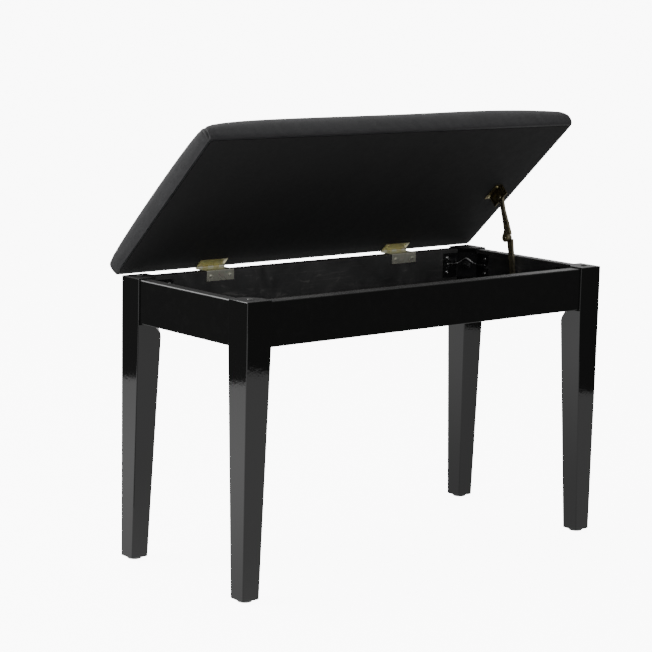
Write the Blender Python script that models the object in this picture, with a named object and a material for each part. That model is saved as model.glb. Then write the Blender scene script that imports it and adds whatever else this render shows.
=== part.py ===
"""Piano bench with a hinged, padded lid over a storage well.

Metres, +Z up, floor at z = 0.  X runs along the bench, -Y is the front.
The bench is modelled with its lid open on the folding stay.
"""
import bpy
import bmesh
import math
from mathutils import Matrix, Vector

# ------------------------------------------------------------------ constants
MM = 0.001

# legs and rails
LEG_X = 368.4          # half of the length over the legs
LEG_Y = 159.2          # half of the depth over the legs
LEG_TOP_SQ = 45.4      # leg section at the rails
LEG_FOOT_SQ = 30.4     # leg section at the foot
LEG_OUT = 1.1          # how far the outer faces lean in at the foot
LEG_CHAMFER = 20.0     # inner corner taken off for the bracket bolt
CHAMFER_RUNOUT = 23.0  # height over which that chamfer dies away below the rail
GLIDE_H = 3.5
LEG_TOP_Z = 450.5
RAIL_TOP = 448.2
RAIL_BOT = 380.1
RAIL_T = 19.8
RAIL_SETBACK = 3.3
SEAM = 0.2             # open seam between neighbouring pieces

PANEL_T = 4.0
PANEL_Z = 385.0        # underside of the bottom panel
GROOVE_D = 5.6

# lid, in its closed position
LID_UNDER = 453.1
COVER_T = 0.7
BOARD_T = 12.0
BOARD_X = 371.2
BOARD_Y = 161.2
LID_Y = 161.7          # closed back edge of the lid
LID_SY = -0.2          # small offset that centres the lid on the base

# hinge line
AXIS_Y = 162.7
AXIS_Z = 450.65
KNUCKLE_R = 2.45
PIN_R = 1.15
OPEN_DEG = 43.42

HINGE_X = 195.8
HINGE_L = 54.0
LEAF_T = 1.1

# folding stay, lid open
P1 = (45.5, 546.5)     # pivot on the lid bracket
P2 = (13.5, 401.5)     # pivot on the rail plate
PJ = (30.3, 478.5)     # knuckle
ARM_UP_X = (331.5, 336.3)
ARM_LO_X = (337.0, 341.6)

# moves the whole bench so that the open shape is centred on the origin in Y
SHIFT_Y = -14.959

X_INNER = LEG_X - RAIL_SETBACK - RAIL_T      # inner face of the end rails
Y_INNER = LEG_Y - RAIL_SETBACK - RAIL_T      # inner face of the long rails

# ------------------------------------------------------------------ clean start
for ob in list(bpy.data.objects):
    bpy.data.objects.remove(ob, do_unlink=True)
for blocks in (bpy.data.meshes, bpy.data.materials):
    for b in list(blocks):
        blocks.remove(b)

SCENE = bpy.context.scene
SCENE.unit_settings.system = 'METRIC'
SCENE.unit_settings.scale_length = 1.0
COLL = SCENE.collection


# ------------------------------------------------------------------ materials
def material(name, color, rough, metallic=0.0, coat=0.0):
    m = bpy.data.materials.new(name)
    m.use_nodes = True
    b = m.node_tree.nodes['Principled BSDF']
    b.inputs['Base Color'].default_value = (*color, 1.0)
    b.inputs['Roughness'].default_value = rough
    b.inputs['Metallic'].default_value = metallic
    b.inputs['Coat Weight'].default_value = coat
    b.inputs['Coat Roughness'].default_value = 0.04
    m.diffuse_color = (*color, 1.0)
    return m


LOOKS = {
    'lacquer': ((0.010, 0.010, 0.011), 0.12, 0.0, 0.6),
    'panel': ((0.020, 0.020, 0.021), 0.55, 0.0, 0.0),
    'vinyl': ((0.030, 0.030, 0.033), 0.50, 0.0, 0.0),
    'cloth': ((0.012, 0.012, 0.013), 0.90, 0.0, 0.0),
    'board': ((0.016, 0.016, 0.017), 0.60, 0.0, 0.0),
    'brass': ((0.70, 0.56, 0.27), 0.30, 1.0, 0.0),
    'old_brass': ((0.42, 0.32, 0.16), 0.38, 1.0, 0.0),
    'black_steel': ((0.018, 0.018, 0.020), 0.28, 0.0, 0.3),
    'nylon': ((0.015, 0.015, 0.016), 0.45, 0.0, 0.0),
    'bumper': ((0.45, 0.45, 0.44), 0.35, 0.0, 0.0),
}


def give_material(ob, look):
    color, rough, metallic, coat = LOOKS[look]
    ob.data.materials.clear()
    ob.data.materials.append(material(ob.name, color, rough, metallic, coat))


# ------------------------------------------------------------------ 2-D helpers
def rounded(points, radii, seg=4):
    """Polygon with each corner replaced by an arc of the given radius."""
    out = []
    n = len(points)
    for i in range(n):
        p = Vector(points[i])
        a = Vector(points[i - 1]) - p
        b = Vector(points[(i + 1) % n]) - p
        r = radii[i] if isinstance(radii, (list, tuple)) else radii
        if r <= 0:
            out.append((p.x, p.y))
            continue
        a.normalize()
        b.normalize()
        half = math.acos(max(-1.0, min(1.0, a.dot(b)))) / 2.0
        d = r / math.tan(half)
        c = p + (a + b).normalized() * (r / math.sin(half))
        s = p + a * d - c
        e = p + b * d - c
        a0 = math.atan2(s.y, s.x)
        a1 = math.atan2(e.y, e.x)
        da = (a1 - a0 + math.pi) % (2 * math.pi) - math.pi
        for k in range(seg + 1):
            t = a0 + da * k / seg
            out.append((c.x + r * math.cos(t), c.y + r * math.sin(t)))
    return out


def arc(centre, r, deg0, deg1, seg):
    pts = []
    for k in range(seg + 1):
        t = math.radians(deg0 + (deg1 - deg0) * k / seg)
        pts.append((centre[0] + r * math.cos(t), centre[1] + r * math.sin(t)))
    return pts


def ring_rect(hx, hy, r, n_corner):
    """Rounded rectangle as a fixed number of points, counter-clockwise."""
    pts = []
    for cx, cy, a0 in ((1, 1, 0), (-1, 1, 90), (-1, -1, 180), (1, -1, 270)):
        pts += arc((cx * (hx - r), cy * (hy - r)), r, a0, a0 + 90, n_corner)
    return pts


# ------------------------------------------------------------------ 3-D helpers
def finish(name, bm, look, origin=(0, 0, 0), smooth=None, parent=None):
    """Turn a bmesh in millimetres into a named object with its origin set."""
    bmesh.ops.recalc_face_normals(bm, faces=bm.faces)
    o = Vector(origin)
    for v in bm.verts:
        v.co = (v.co - o) * MM
    me = bpy.data.meshes.new(name)
    bm.to_mesh(me)
    bm.free()
    ob = bpy.data.objects.new(name, me)
    COLL.objects.link(ob)
    if parent is None:
        ob.location = (o.x * MM, (o.y + SHIFT_Y) * MM, o.z * MM)
    else:
        ob.parent = parent[0]
        ob.location = (o - Vector(parent[1])) * MM
    if smooth is not None:
        for p in me.polygons:
            p.use_smooth = True
        me.set_sharp_from_angle(angle=math.radians(smooth))
    if look:
        give_material(ob, look)
    return ob


def prism_bm(poly, axis, lo, hi, edge=0.0, edge_seg=1):
    """Polygon swept along an axis, its two end faces eased by a small bevel."""
    def put(u, v, w):
        return {'X': (w, u, v), 'Y': (u, w, v), 'Z': (u, v, w)}[axis]
    bm = bmesh.new()
    if edge > 0:
        c = Vector((sum(p[0] for p in poly) / len(poly), sum(p[1] for p in poly) / len(poly)))
        inner = offset_poly(poly, edge)
        layers = [(inner, lo), (poly, lo + edge), (poly, hi - edge), (inner, hi)]
    else:
        layers = [(poly, lo), (poly, hi)]
    rings = [[bm.verts.new(put(u, v, w)) for u, v in pl] for pl, w in layers]
    n = len(poly)
    for a, b in zip(rings[:-1], rings[1:]):
        for i in range(n):
            bm.faces.new((a[i], a[(i + 1) % n], b[(i + 1) % n], b[i]))
    bm.faces.new(rings[0][::-1])
    bm.faces.new(rings[-1])
    return bm


def offset_poly(poly, d):
    """Shrink a polygon by d along its mitred corners."""
    n = len(poly)
    area = sum(poly[i][0] * poly[(i + 1) % n][1] - poly[(i + 1) % n][0] * poly[i][1] for i in range(n))
    s = 1.0 if area > 0 else -1.0
    out = []
    for i in range(n):
        p = Vector(poly[i])
        a = (p - Vector(poly[i - 1])).normalized()
        b = (Vector(poly[(i + 1) % n]) - p).normalized()
        na = Vector((-a.y, a.x)) * s
        nb = Vector((-b.y, b.x)) * s
        m = (na + nb)
        m = m.normalized() if m.length > 1e-9 else na
        k = d / max(0.3, m.dot(na))
        out.append((p.x + m.x * k, p.y + m.y * k))
    return out


def revolve_bm(profile, centre, direction, seg=24):
    """Solid of revolution: profile is (radius, distance along direction)."""
    z = Vector(direction).normalized()
    rot = z.to_track_quat('Z', 'Y').to_matrix()
    bm = bmesh.new()
    rings = []
    for r, h in profile:
        if r <= 1e-6:
            rings.append([bm.verts.new(Vector(centre) + rot @ Vector((0, 0, h)))])
        else:
            rings.append([bm.verts.new(Vector(centre) + rot @ Vector((r * math.cos(2 * math.pi * k / seg),
                                                                     r * math.sin(2 * math.pi * k / seg), h)))
                          for k in range(seg)])
    for a, b in zip(rings[:-1], rings[1:]):
        if len(a) == 1:
            for k in range(seg):
                bm.faces.new((a[0], b[k], b[(k + 1) % seg]))
        elif len(b) == 1:
            for k in range(seg):
                bm.faces.new((a[k], a[(k + 1) % seg], b[0]))
        else:
            for k in range(seg):
                bm.faces.new((a[k], a[(k + 1) % seg], b[(k + 1) % seg], b[k]))
    if len(rings[0]) > 1:
        bm.faces.new(rings[0][::-1])
    if len(rings[-1]) > 1:
        bm.faces.new(rings[-1])
    return bm


def join_bm(parts):
    """Several bmeshes in one, for cutters made of separate solids."""
    out = bmesh.new()
    for p in parts:
        bmesh.ops.recalc_face_normals(p, faces=p.faces)
        me = bpy.data.meshes.new('tmp')
        p.to_mesh(me)
        p.free()
        out.from_mesh(me)
        bpy.data.meshes.remove(me)
    return out


def box_bm(x0, x1, y0, y1, z0, z1):
    return prism_bm([(x0, y0), (x1, y0), (x1, y1), (x0, y1)], 'Z', z0, z1)


def cyl_bm(centre, direction, r, h0, h1, seg=16):
    return revolve_bm([(r, h0), (r, h1)], centre, direction, seg)


def cutter(name, parts, parent=None):
    bm = join_bm(parts)
    o = Vector((0, 0, 0))
    for v in bm.verts:
        v.co = v.co * MM
    me = bpy.data.meshes.new(name)
    bm.to_mesh(me)
    bm.free()
    ob = bpy.data.objects.new(name, me)
    COLL.objects.link(ob)
    if parent is None:
        ob.location = (0, SHIFT_Y * MM, 0)
    else:
        ob.parent = parent[0]
        ob.location = (o - Vector(parent[1])) * MM
    ob.hide_render = True
    ob.display_type = 'WIRE'
    return ob


def boolean(ob, cut, op='DIFFERENCE'):
    m = ob.modifiers.new(cut.name, 'BOOLEAN')
    m.operation = op
    m.solver = 'EXACT'
    m.object = cut


# pan-head wood screw, head resting at distance 0, shank going along -direction
def screw(name, centre, direction, look, head_r=3.0, head_h=1.3, shank_r=1.4, shank=9.0, parent=None):
    prof = [(0, -shank), (shank_r * 0.35, -shank + 1.2), (shank_r, -shank + 3.2), (shank_r, 0.05), (head_r, 0.05),
            (head_r, 0.05 + head_h * 0.35), (head_r * 0.8, 0.05 + head_h * 0.8), (head_r * 0.42, 0.05 + head_h), (0, 0.05 + head_h)]
    bm = revolve_bm(prof, centre, direction, 16)
    return finish(name, bm, look, origin=centre, smooth=40, parent=parent)


# ------------------------------------------------------------------ legs
def leg_section(z):
    """Section at height z in the leg's own quadrant (x, y both positive)."""
    t = min(1.0, max(0.0, (RAIL_BOT - z) / (RAIL_BOT - GLIDE_H)))
    out = LEG_OUT * t
    sq = LEG_TOP_SQ + (LEG_FOOT_SQ - LEG_TOP_SQ) * t
    if z >= RAIL_BOT - 2.0:
        ch = LEG_CHAMFER
    else:
        u = min(1.0, (RAIL_BOT - 2.0 - z) / CHAMFER_RUNOUT)
        ch = 1.2 + (LEG_CHAMFER - 1.2) * (1.0 - math.sin(u * math.pi / 2.0))
    x1, y1 = LEG_X - out, LEG_Y - out
    x0, y0 = x1 - sq, y1 - sq
    pts = [(x1, y0), (x1, y1), (x0, y1), (x0, y0 + ch), (x0 + ch, y0)]
    return rounded(pts, [1.3, 1.6, 1.3, 0.4, 0.4], 3)


def leg(name, sx, sy):
    zs = [GLIDE_H, GLIDE_H + 1.2, 200.0, RAIL_BOT - 25.0, RAIL_BOT - 21.0, RAIL_BOT - 16.5, RAIL_BOT - 12.0,
          RAIL_BOT - 7.5, RAIL_BOT - 4.0, RAIL_BOT - 2.0, LEG_TOP_Z - 1.2, LEG_TOP_Z - 0.35, LEG_TOP_Z]
    inset = {0: 1.2, len(zs) - 2: 0.35, len(zs) - 1: 1.2}
    bm = bmesh.new()
    rings = []
    for i, z in enumerate(zs):
        sec = leg_section(z)
        if i in inset:
            sec = offset_poly(sec, inset[i])
        rings.append([bm.verts.new((sx * x, sy * y, z)) for x, y in sec])
    n = len(rings[0])
    for a, b in zip(rings[:-1], rings[1:]):
        for k in range(n):
            bm.faces.new((a[k], a[(k + 1) % n], b[(k + 1) % n], b[k]))
    bm.faces.new(rings[0][::-1])
    bm.faces.new(rings[-1])
    fx, fy = foot_centre(sx, sy)
    ob = finish(name, bm, 'lacquer', origin=(sx * LEG_X, sy * LEG_Y, 0), smooth=30)
    # bores: hanger bolt through the chamfer, nail of the glide, nail of the bumper
    bx, by = web_centre(sx, sy)
    d = Vector((sx, sy, 0)).normalized()
    tx, ty = top_centre(sx, sy)
    cut = cutter(name + '_bores', [
        cyl_bm((bx, by, BOLT_Z), d, 4.25, 0.0, 32.0),
        cyl_bm((fx, fy, 0), (0, 0, 1), 1.6, 0.0, 16.0, 12),
        cyl_bm((tx, ty, LEG_TOP_Z), (0, 0, 1), 1.6, -9.0, 3.0, 12)])
    boolean(ob, cut)
    return ob


def foot_centre(sx, sy):
    return sx * (LEG_X - LEG_OUT - LEG_FOOT_SQ / 2), sy * (LEG_Y - LEG_OUT - LEG_FOOT_SQ / 2)


def top_centre(sx, sy):
    return sx * (LEG_X - LEG_TOP_SQ / 2 + 3.0), sy * (LEG_Y - LEG_TOP_SQ / 2 + 3.0)


BOLT_Z = 420.0
CH_SUM = (LEG_X - LEG_TOP_SQ) + (LEG_Y - LEG_TOP_SQ) + LEG_CHAMFER   # x + y on the chamfer
BR_T = 1.8                                                          # bracket thickness
WEB_SUM = CH_SUM - 1.2 * math.sqrt(2)                               # outer side of the web


def web_centre(sx, sy):
    """Middle of the bracket's diagonal web, on its outer side."""
    dx = (X_INNER - (WEB_SUM - Y_INNER)) / 2.0
    x = X_INNER - dx
    return sx * x, sy * (WEB_SUM - x)


def corner_bracket(name, sx, sy):
    g = SEAM
    xi, yi = X_INNER - g, Y_INNER - g
    wx, wy = 31.0, 28.0
    a = (WEB_SUM - yi, yi)
    b = (xi, WEB_SUM - xi)
    k = BR_T * math.tan(math.radians(22.5))
    outer = [(a[0] - wx, yi), a, b, (xi, b[1] - wy)]
    inner = [(xi - BR_T, b[1] - wy), (b[0] - BR_T, b[1] - k), (a[0] - k, a[1] - BR_T), (a[0] - wx, yi - BR_T)]
    poly = outer + inner
    poly = [(sx * x, sy * y) for x, y in poly]
    bm = prism_bm(poly, 'Z', 400.0, 442.0)
    # shape the free ends: upper corners of the two wings are clipped
    ob = finish(name, bm, 'black_steel', origin=(sx * X_INNER, sy * Y_INNER, 420.0))
    bx, by = web_centre(sx, sy)
    d = Vector((sx, sy, 0)).normalized()
    parts = [cyl_bm((bx, by, BOLT_Z), d, 4.4, -12.0, 6.0)]
    x_s = a[0] - wx + 8.0
    y_s = b[1] - wy + 8.0
    for z in (409.0, 434.0):
        parts.append(cyl_bm((sx * x_s, sy * yi, z), (0, 1, 0), 1.9, -8.0, 8.0, 12))
        parts.append(cyl_bm((sx * xi, sy * y_s, z), (1, 0, 0), 1.9, -8.0, 8.0, 12))
    cut = cutter(name + '_holes', parts)
    boolean(ob, cut)
    return ob


def leg_bolt(name, sx, sy):
    bx, by = web_centre(sx, sy)
    d = Vector((sx, sy, 0)).normalized()
    prof = [(0, -19.0), (2.6, -19.0), (3.9, -17.6), (3.9, 21.0), (2.0, 27.0), (0, 28.0)]
    bm = revolve_bm(prof, (bx, by, BOLT_Z), d, 20)
    return finish(name, bm, 'black_steel', origin=(bx, by, BOLT_Z), smooth=40)


def leg_nut(name, sx, sy):
    bx, by = web_centre(sx, sy)
    d = Vector((sx, sy, 0)).normalized()
    z = -d
    side = Vector((-z.y, z.x, 0))
    up = Vector((0, 0, 1))
    c = Vector((bx, by, BOLT_Z)) - d * (BR_T + 0.15)
    bm = bmesh.new()
    n = 24
    r_out = 13.0 / math.sqrt(3)
    rings = []
    for r_in, h in ((4.15, 0.0), (None, 0.0), (None, 6.2), (4.15, 6.2)):
        ring = []
        for k in range(n):
            t = 2 * math.pi * k / n
            if r_in:
                r = r_in
            else:
                # hexagon: radius to the flat side at this angle
                m = (t + math.pi / 6) % (math.pi / 3) - math.pi / 6
                r = r_out * math.cos(math.pi / 6) / math.cos(m)
            ring.append(bm.verts.new(c + z * h + side * (r * math.cos(t)) + up * (r * math.sin(t))))
        rings.append(ring)
    for i in range(4):
        a, b = rings[i], rings[(i + 1) % 4]
        for k in range(n):
            bm.faces.new((a[k], a[(k + 1) % n], b[(k + 1) % n], b[k]))
    return finish(name, bm, 'black_steel', origin=(bx, by, BOLT_Z))


def foot_glide(name, sx, sy):
    fx, fy = foot_centre(sx, sy)
    prof = [(0, 0), (9.0, 0), (10.8, 0.5), (11.5, 1.6), (11.5, 2.7), (11.1, GLIDE_H - 0.1), (1.35, GLIDE_H - 0.1), (1.35, 13.0), (0, 15.0)]
    bm = revolve_bm(prof, (fx, fy, 0), (0, 0, 1), 28)
    return finish(name, bm, 'nylon', origin=(fx, fy, 0), smooth=40)


def lid_bumper(name, sx, sy):
    tx, ty = top_centre(sx, sy)
    top = LID_UNDER - 0.3 - LEG_TOP_Z
    prof = [(0, -8.0), (1.3, -7.0), (1.3, 0.1), (4.6, 0.1), (5.0, 0.7), (4.6, top - 0.7), (3.4, top - 0.1), (1.6, top), (0, top)]
    bm = revolve_bm(prof, (tx, ty, LEG_TOP_Z), (0, 0, 1), 20)
    return finish(name, bm, 'bumper', origin=(tx, ty, LEG_TOP_Z), smooth=40)


# ------------------------------------------------------------------ rails and panel
def rail_poly(inner, outer):
    """Cross-section (across, z) of a rail with its groove for the panel."""
    s = 1.0 if outer > inner else -1.0
    g0, g1 = PANEL_Z - 0.25, PANEL_Z + PANEL_T + 0.25
    pts = [(inner, RAIL_BOT), (outer, RAIL_BOT), (outer, RAIL_TOP), (inner, RAIL_TOP),
           (inner, g1), (inner + s * GROOVE_D, g1), (inner + s * GROOVE_D, g0), (inner, g0)]
    return rounded(pts, [0.8, 1.2, 1.6, 1.2, 0, 0, 0, 0], 3)


def long_rail(name, sy, screws):
    half = LEG_X - LEG_TOP_SQ - SEAM
    poly = rail_poly(sy * Y_INNER, sy * (Y_INNER + RAIL_T))
    bm = prism_bm(poly, 'X', -half, half)
    ob = finish(name, bm, 'lacquer', origin=(0, sy * (Y_INNER + RAIL_T / 2), (RAIL_TOP + RAIL_BOT) / 2), smooth=30)
    if screws:
        cut = cutter(name + '_pilots', [cyl_bm((x, Y_INNER, z), (0, 1, 0), 1.6, -4.0, 11.0, 12) for x, z in screws])
        boolean(ob, cut)
    return ob


def end_rail(name, sx, screws):
    half = LEG_Y - LEG_TOP_SQ - SEAM
    poly = rail_poly(sx * X_INNER, sx * (X_INNER + RAIL_T))
    bm = prism_bm(poly, 'Y', -half, half)
    ob = finish(name, bm, 'lacquer', origin=(sx * (X_INNER + RAIL_T / 2), 0, (RAIL_TOP + RAIL_BOT) / 2), smooth=30)
    if screws:
        cut = cutter(name + '_pilots', [cyl_bm((X_INNER, y, z), (1, 0, 0), 1.6, -4.0, 11.0, 12) for y, z in screws])
        boolean(ob, cut)
    return ob


def bottom_panel(name):
    hx = X_INNER + GROOVE_D - 0.5
    hy = Y_INNER + GROOVE_D - 0.5
    s = CH_SUM - 1.5
    q = [(hx, s - hx), (s - hy, hy)]
    poly = q + [(-q[1][0], q[1][1]), (-q[0][0], q[0][1])] + [(-x, -y) for x, y in q] + [(q[1][0], -q[1][1]), (q[0][0], -q[0][1])]
    bm = prism_bm(poly, 'Z', PANEL_Z, PANEL_Z + PANEL_T)
    return finish(name, bm, 'panel', origin=(0, 0, PANEL_Z))


# ------------------------------------------------------------------ hinges
def knuckle_spans(side):
    """Five knuckles along one hinge; the lower leaf has the odd ones."""
    x0 = side * HINGE_X - HINGE_L / 2
    w = HINGE_L / 5
    return [(x0 + w * i, x0 + w * (i + 1)) for i in range(5)]


def hinge_leaf(name, side, lower, parent=None):
    x0, x1 = side * HINGE_X - HINGE_L / 2, side * HINGE_X + HINGE_L / 2
    spans = knuckle_spans(side)
    own = spans[0::2] if lower else spans[1::2]
    other = spans[1::2] if lower else spans[0::2]
    if lower:
        zt = RAIL_TOP + 0.1
        yi = Y_INNER - 0.1
        ybar = AXIS_Y
        prof = [(ybar, zt), (ybar, zt + LEAF_T), (yi - LEAF_T, zt + LEAF_T), (yi - LEAF_T, zt - 16.2), (yi, zt - 16.2), (yi, zt)]
        prof = rounded(prof, [0, 0, 1.0, 0.3, 0.3, 0], 3)
        sheet = prism_bm(prof, 'X', x0, x1)
        zb = zt
    else:
        zb = LID_UNDER - 0.1 - LEAF_T
        prof = [(AXIS_Y, zb), (AXIS_Y, zb + LEAF_T), (LID_Y - 17.1, zb + LEAF_T), (LID_Y - 17.1, zb)]
        sheet = prism_bm(prof, 'X', x0, x1)
    ob = finish(name, sheet, 'brass', origin=(side * HINGE_X, AXIS_Y, AXIS_Z), smooth=35, parent=parent)
    g = 0.15
    c = (0, AXIS_Y, AXIS_Z)
    ends = (spans[0][0], spans[-1][1])
    barrel = cutter(name + '_barrel', [
        cyl_bm(c, (1, 0, 0), KNUCKLE_R, a + (0 if a == ends[0] else g), b - (0 if b == ends[1] else g), 24)
        for a, b in own], parent)
    boolean(ob, barrel, 'UNION')
    slots = cutter(name + '_slots', [
        cyl_bm(c, (1, 0, 0), KNUCKLE_R + 0.4, a - (3 if a == ends[0] else g), b + (3 if b == ends[1] else g), 24)
        for a, b in other], parent)
    boolean(ob, slots)
    holes = [cyl_bm(c, (1, 0, 0), PIN_R + 0.15, x0 - 3, x1 + 3, 16)]
    for dx in (-18.6, 18.6):
        if lower:
            holes.append(cyl_bm((side * HINGE_X + dx, Y_INNER, LOW_SCREW_Z), (0, 1, 0), 1.7, -5, 3, 16))
        else:
            holes.append(cyl_bm((side * HINGE_X + dx, UP_SCREW_Y, LID_UNDER), (0, 0, 1), 1.7, -4, 3, 16))
    boolean(ob, cutter(name + '_bores', holes, parent))
    return ob


LOW_SCREW_Z = 440.2
UP_SCREW_Y = LID_Y - 11.0


def hinge_pin(name, side):
    h = HINGE_L / 2
    prof = [(0, -h - 1.0), (1.5, -h - 1.0), (2.0, -h - 0.6), (2.0, -h - 0.1), (PIN_R, -h - 0.1), (PIN_R, h + 0.1),
            (2.0, h + 0.1), (2.0, h + 0.6), (1.5, h + 1.0), (0, h + 1.0)]
    bm = revolve_bm(prof, (side * HINGE_X, AXIS_Y, AXIS_Z), (1, 0, 0), 20)
    return finish(name, bm, 'brass', origin=(side * HINGE_X, AXIS_Y, AXIS_Z), smooth=40)


# ------------------------------------------------------------------ lid
def lid_board(name, parent, holes):
    poly = ring_rect(BOARD_X, BOARD_Y, 5.0, 4)
    poly = [(x, y + LID_SY) for x, y in poly]
    z0 = LID_UNDER + COVER_T + 0.1
    bm = prism_bm(poly, 'Z', z0, z0 + BOARD_T)
    ob = finish(name, bm, 'board', origin=(0, AXIS_Y, AXIS_Z), parent=parent)
    boolean(ob, cutter(name + '_pilots', [cyl_bm((x, y, LID_UNDER), (0, 0, 1), 1.6, -3.0, 11.5, 12) for x, y in holes], parent))
    return ob


def dust_cover(name, parent, holes):
    poly = ring_rect(BOARD_X - 0.2, BOARD_Y - 0.2, 5.0, 4)
    poly = [(x, y + LID_SY) for x, y in poly]
    bm = prism_bm(poly, 'Z', LID_UNDER, LID_UNDER + COVER_T)
    ob = finish(name, bm, 'cloth', origin=(0, AXIS_Y, AXIS_Z), parent=parent)
    boolean(ob, cutter(name + '_pilots', [cyl_bm((x, y, LID_UNDER), (0, 0, 1), 1.6, -3.0, 11.5, 12) for x, y in holes], parent))
    return ob


# side profile of the upholstery: how far it stands out past the board, height
PAD = [(4.0, 453.3), (5.6, 456.0), (7.2, 461.5), (8.0, 468.0), (7.8, 475.0), (6.3, 481.5), (3.2, 487.5),
       (-2.0, 492.2), (-9.5, 495.8), (-23.0, 498.6), (-55.0, 501.2), (-105.0, 503.0)]


def seat_cushion(name, parent):
    n_c = 6
    bm = bmesh.new()
    top_in = LID_UNDER + COVER_T + 0.1 + BOARD_T + 0.3
    levels = [(BOARD_X + 0.4, BOARD_Y + 0.4, 5.4, top_in), (BOARD_X + 0.4, BOARD_Y + 0.4, 5.4, PAD[0][1])]
    for off, z in PAD:
        levels.append((BOARD_X + off, BOARD_Y + off, (8.0 + off * 0.3 if off > -9 else 10.0), z))
    rings = []
    for hx, hy, r, z in levels:
        rings.append([bm.verts.new((x, y + LID_SY, z)) for x, y in ring_rect(hx, hy, min(r, hy * 0.9), n_c)])
    n = len(rings[0])
    for a, b in zip(rings[:-1], rings[1:]):
        for k in range(n):
            bm.faces.new((a[k], a[(k + 1) % n], b[(k + 1) % n], b[k]))
    bm.faces.new(rings[0])
    bm.faces.new(rings[-1])
    return finish(name, bm, 'vinyl', origin=(0, AXIS_Y, AXIS_Z), smooth=50, parent=parent)


# ------------------------------------------------------------------ stay
TH = math.radians(OPEN_DEG)


def closed_from_open(p):
    """Point of the lid, given with the lid open, moved to its closed place."""
    y, z = p[0] - AXIS_Y, p[1] - AXIS_Z
    return (AXIS_Y + y * math.cos(TH) - z * math.sin(TH), AXIS_Z + y * math.sin(TH) + z * math.cos(TH))


P1C = closed_from_open(P1)


def stay_lid_bracket(name, parent):
    """Angle bracket: foot on the lid, ear hanging down to the pivot."""
    x_ear0, x_ear1 = 329.9, 331.2
    zt = LID_UNDER - 0.1
    foot = [(x_ear1, zt), (316.5, zt), (316.5, zt - 1.2), (x_ear0, zt - 1.2), (x_ear0, P1C[1] - 5.5), (x_ear1, P1C[1] - 5.5)]
    bm = prism_bm(foot, 'Y', P1C[0] - 19.0, P1C[0] + 19.0)
    ob = finish(name, bm, 'old_brass', origin=(x_ear1, P1C[0], P1C[1]), parent=parent)
    # ear narrows to a round end about the pivot
    y0, y1 = P1C[0] - 19.5, P1C[0] + 19.5
    zb, zn = P1C[1] - 8.0, zt - 1.3
    left = [(y0, zb), (P1C[0], zb)] + arc((P1C[0], P1C[1]), 5.4, 270, 180, 6) + [(P1C[0] - 7.0, zn - 1.5), (P1C[0] - 9.0, zn), (y0, zn)]
    right = [(2 * P1C[0] - y, z) for y, z in left][::-1]
    cuts = [prism_bm(left, 'X', x_ear0 - 2.0, x_ear1 + 2.0), prism_bm(right, 'X', x_ear0 - 2.0, x_ear1 + 2.0)]
    cuts.append(cyl_bm((0, P1C[0], P1C[1]), (1, 0, 0), 1.75, 325.0, 335.0))
    for y in STAY_LID_SCREWS:
        cuts.append(cyl_bm((STAY_SCREW_X, y, zt), (0, 0, 1), 1.7, -4.0, 3.0))
    boolean(ob, cutter(name + '_cuts', cuts, parent))
    return ob


STAY_SCREW_X = 322.5
STAY_LID_SCREWS = (P1C[0] - 13.0, P1C[0] + 13.0)


def arm(name, poly, pivot, xs, holes, look='old_brass', web=1.3, wall=1.3, pocket=None):
    """Pressed arm: thin web on the -X side, its edges turned towards +X."""
    poly = [(p[0], p[1]) for p in poly]
    bm = prism_bm(poly, 'X', xs[0], xs[1])
    ob = finish(name, bm, look, origin=(xs[0], pivot[0], pivot[1]), smooth=35)
    cuts = []
    if pocket:
        cuts.append(prism_bm(pocket, 'X', xs[0] + web, xs[1] + 3.0))
    boolean(ob, cutter(name + '_pocket', cuts)) if cuts else None
    boolean(ob, cutter(name + '_holes', [cyl_bm((0, y, z), (1, 0, 0), r, xs[0] - 3, xs[1] + 3, 20) for y, z, r in holes]))
    return ob


def stay_upper_arm(name):
    jy, jz = PJ
    poly = arc(P1, 4.6, 15, 165, 8)
    poly += [(35.4, 527.5), (27.6, 509.5), (20.6, 493.2), (17.9, 485.7), (24.6, 484.9)]
    poly += arc(PJ, 7.4, 140, 375, 14)
    poly += [(33.4, 491.0), (38.2, 509.0), (43.6, 527.0)]
    pocket = arc(P1, 2.9, 200, 340, 4)[:0] + [(42.6, 538.0), (37.2, 526.6), (29.3, 508.8), (22.6, 493.0), (21.0, 487.6),
                                             (27.0, 487.6), (31.0, 492.0), (36.4, 509.6), (41.7, 527.2), (45.6, 538.0)]
    return arm(name, poly, P1, ARM_UP_X, [(P1[0], P1[1], 1.75), (jy, jz, 1.75)], pocket=pocket)


def stay_lower_arm(name):
    jy, jz = PJ
    poly = arc(P2, 5.0, 190, 350, 8)
    poly += [(21.3, 421.0), (24.6, 441.0), (27.6, 457.5), (30.4, 471.5)]
    poly += arc(PJ, 7.4, -55, 165, 12)
    poly += [(23.2, 477.2), (19.4, 477.2), (17.0, 459.0), (14.3, 442.0), (11.6, 421.0)]
    pocket = [(11.8, 411.0), (13.5, 421.6), (16.1, 441.6), (18.7, 458.6), (20.4, 470.0), (27.4, 470.0), (25.6, 458.0), (22.6, 441.2), (19.4, 421.4), (17.0, 411.0)]
    return arm(name, poly, P2, ARM_LO_X, [(P2[0], P2[1], 1.75), (jy, jz, 1.75)], pocket=pocket)


def rivet(name, pivot, x_head, x_end, parent=None, at=None, look='old_brass'):
    y, z = at if at else pivot
    L = x_end - x_head
    prof = [(0, -1.3), (1.6, -1.15), (2.7, -0.65), (3.1, -0.05), (1.6, -0.05), (1.6, L), (0, L)]
    bm = revolve_bm(prof, (x_head, y, z), (1, 0, 0), 20)
    return finish(name, bm, look, origin=(x_head, y, z), smooth=40, parent=parent)


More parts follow.
